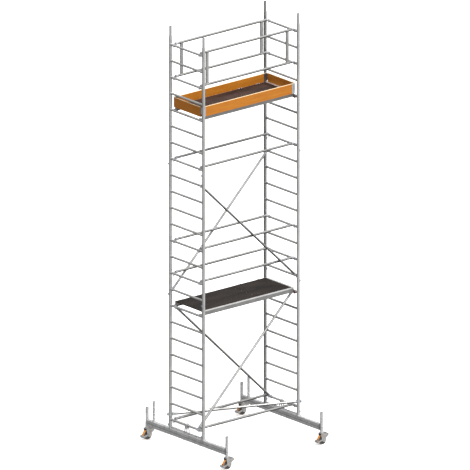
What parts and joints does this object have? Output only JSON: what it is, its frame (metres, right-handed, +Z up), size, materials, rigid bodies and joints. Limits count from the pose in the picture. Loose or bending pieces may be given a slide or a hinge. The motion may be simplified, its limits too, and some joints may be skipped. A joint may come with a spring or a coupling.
{
  "type": "mobile scaffold tower",
  "caption": "Rolling aluminium scaffold tower: ladder frames, hooked rails and diagonal braces, hatch decks with toe boards, and a wide steel base on braked castors.",
  "frame": {"origin": "on the floor, midway between the four castors", "axes": "+Z up, +X along the decks, -Y is the near side of the tower"},
  "size_m": [2.008, 1.904, 6.47],
  "materials": {
    "aluminium_tube": "bare drawn tube, satin",
    "galvanised_steel": "hot-dip galvanised, matt grey",
    "steel_fittings": "zinc plated",
    "cast_claw": "cast, slightly rough",
    "deck_profile": "extruded, satin",
    "deck_plywood": "dark phenolic film, textured",
    "toe_board_wood": "orange stained board, satin",
    "castor_wheel": "orange polyurethane tyre",
    "red_paint": "dark red paint",
    "black_plastic": "moulded"
  },
  "bodies": {
    "tower": {"base_beam_left": "galvanised_steel", "base_beam_right": "galvanised_steel", "beam_spigots": "galvanised_steel", "beam_tie_bars": "galvanised_steel", "frame_lower_left": "aluminium_tube", "frame_lower_right": "aluminium_tube", "frame_middle_left": "aluminium_tube", "frame_middle_right": "aluminium_tube", "frame_upper_left": "aluminium_tube", "frame_upper_right": "aluminium_tube", "frame_joint_clips": "steel_fittings", "base_rail_near": "aluminium_tube", "base_rail_far": "aluminium_tube", "guard_rail_low_near": "aluminium_tube", "guard_rail_low_far": "aluminium_tube", "guard_rail_high_near": "aluminium_tube", "guard_rail_high_far": "aluminium_tube", "tie_rail_near": "aluminium_tube", "tie_rail_far": "aluminium_tube", "double_rail_near": "aluminium_tube", "double_rail_far": "aluminium_tube", "rail_claws": "cast_claw", "brace_lower_near": "aluminium_tube", "brace_lower_far": "aluminium_tube", "brace_upper_far": "aluminium_tube", "brace_upper_near": "aluminium_tube", "plan_brace": "aluminium_tube", "brace_claws": "cast_claw", "deck_frame_lower": "deck_profile", "deck_panel_lower": "deck_plywood", "deck_claws_lower": "cast_claw", "deck_frame_upper": "deck_profile", "deck_panel_upper": "deck_plywood", "deck_claws_upper": "cast_claw", "toe_board_near": "toe_board_wood", "toe_board_far": "toe_board_wood", "toe_board_left": "toe_board_wood", "toe_board_right": "toe_board_wood", "toe_board_fittings": "deck_profile", "castor_stems": "steel_fittings"},
    "swivel_near_left": {"castor_fork_near_left": "steel_fittings"},
    "wheel_near_left": {"castor_wheel_near_left": "castor_wheel"},
    "brake_near_left": {"castor_brake_near_left": "steel_fittings"},
    "swivel_far_left": {"castor_fork_far_left": "steel_fittings"},
    "wheel_far_left": {"castor_wheel_far_left": "castor_wheel"},
    "brake_far_left": {"castor_brake_far_left": "steel_fittings"},
    "swivel_near_right": {"castor_fork_near_right": "steel_fittings"},
    "wheel_near_right": {"castor_wheel_near_right": "castor_wheel"},
    "brake_near_right": {"castor_brake_near_right": "steel_fittings"},
    "swivel_far_right": {"castor_fork_far_right": "steel_fittings"},
    "wheel_far_right": {"castor_wheel_far_right": "castor_wheel"},
    "brake_far_right": {"castor_brake_far_right": "steel_fittings"},
    "hatch_lower": {"hatch_lower": "deck_plywood"},
    "hatch_catch_lower": {"hatch_catch_lower": "black_plastic"},
    "wind_lock_lower_near": {"wind_lock_lower_near": "red_paint"},
    "wind_lock_lower_far": {"wind_lock_lower_far": "red_paint"},
    "hatch_upper": {"hatch_upper": "deck_plywood"},
    "hatch_catch_upper": {"hatch_catch_upper": "black_plastic"},
    "wind_lock_upper_near": {"wind_lock_upper_near": "red_paint"},
    "wind_lock_upper_far": {"wind_lock_upper_far": "red_paint"}
  },
  "joints": [
    {"name": "swivel_near_left_turn", "type": "hinge", "parent": "tower", "child": "swivel_near_left", "pos_m": [-0.9, -0.905, 0.18], "axis": [0, 0, 1], "continuous": true},
    {"name": "wheel_near_left_roll", "type": "hinge", "parent": "swivel_near_left", "child": "wheel_near_left", "pos_m": [-0.9, -0.905, 0.075], "axis": [0, 1, 0], "continuous": true},
    {"name": "brake_near_left_press", "type": "hinge", "parent": "swivel_near_left", "child": "brake_near_left", "pos_m": [-0.9, -0.905, 0.075], "axis": [0, 1, 0], "range_deg": [0, 18]},
    {"name": "swivel_far_left_turn", "type": "hinge", "parent": "tower", "child": "swivel_far_left", "pos_m": [-0.9, 0.905, 0.18], "axis": [0, 0, 1], "continuous": true},
    {"name": "wheel_far_left_roll", "type": "hinge", "parent": "swivel_far_left", "child": "wheel_far_left", "pos_m": [-0.9, 0.905, 0.075], "axis": [0, 1, 0], "continuous": true},
    {"name": "brake_far_left_press", "type": "hinge", "parent": "swivel_far_left", "child": "brake_far_left", "pos_m": [-0.9, 0.905, 0.075], "axis": [0, 1, 0], "range_deg": [0, 18]},
    {"name": "swivel_near_right_turn", "type": "hinge", "parent": "tower", "child": "swivel_near_right", "pos_m": [0.9, -0.905, 0.18], "axis": [0, 0, 1], "continuous": true},
    {"name": "wheel_near_right_roll", "type": "hinge", "parent": "swivel_near_right", "child": "wheel_near_right", "pos_m": [0.9, -0.905, 0.075], "axis": [0, 1, 0], "continuous": true},
    {"name": "brake_near_right_press", "type": "hinge", "parent": "swivel_near_right", "child": "brake_near_right", "pos_m": [0.9, -0.905, 0.075], "axis": [0, 1, 0], "range_deg": [0, 18]},
    {"name": "swivel_far_right_turn", "type": "hinge", "parent": "tower", "child": "swivel_far_right", "pos_m": [0.9, 0.905, 0.18], "axis": [0, 0, 1], "continuous": true},
    {"name": "wheel_far_right_roll", "type": "hinge", "parent": "swivel_far_right", "child": "wheel_far_right", "pos_m": [0.9, 0.905, 0.075], "axis": [0, 1, 0], "continuous": true},
    {"name": "brake_far_right_press", "type": "hinge", "parent": "swivel_far_right", "child": "brake_far_right", "pos_m": [0.9, 0.905, 0.075], "axis": [0, 1, 0], "range_deg": [0, 18]},
    {"name": "hatch_lower_open", "type": "hinge", "parent": "tower", "child": "hatch_lower", "pos_m": [0.5155, 0.287, 2.27], "axis": [-1, 0, 0], "range_deg": [0, 84]},
    {"name": "hatch_catch_lower_slide", "type": "slide", "parent": "hatch_lower", "child": "hatch_catch_lower", "axis": [0, 1, 0], "range_m": [0, 0.018]},
    {"name": "wind_lock_lower_near_swing", "type": "hinge", "parent": "tower", "child": "wind_lock_lower_near", "pos_m": [0.879, -0.3085, 2.21], "axis": [0, 1, 0], "range_deg": [0, 60]},
    {"name": "wind_lock_lower_far_swing", "type": "hinge", "parent": "tower", "child": "wind_lock_lower_far", "pos_m": [0.879, 0.3085, 2.21], "axis": [0, 1, 0], "range_deg": [0, 60]},
    {"name": "hatch_upper_open", "type": "hinge", "parent": "tower", "child": "hatch_upper", "pos_m": [0.5155, 0.287, 5.27], "axis": [-1, 0, 0], "range_deg": [0, 84]},
    {"name": "hatch_catch_upper_slide", "type": "slide", "parent": "hatch_upper", "child": "hatch_catch_upper", "axis": [0, 1, 0], "range_m": [0, 0.018]},
    {"name": "wind_lock_upper_near_swing", "type": "hinge", "parent": "tower", "child": "wind_lock_upper_near", "pos_m": [0.879, -0.3085, 5.21], "axis": [0, 1, 0], "range_deg": [0, 60]},
    {"name": "wind_lock_upper_far_swing", "type": "hinge", "parent": "tower", "child": "wind_lock_upper_far", "pos_m": [0.879, 0.3085, 5.21], "axis": [0, 1, 0], "range_deg": [0, 60]}
  ]
}
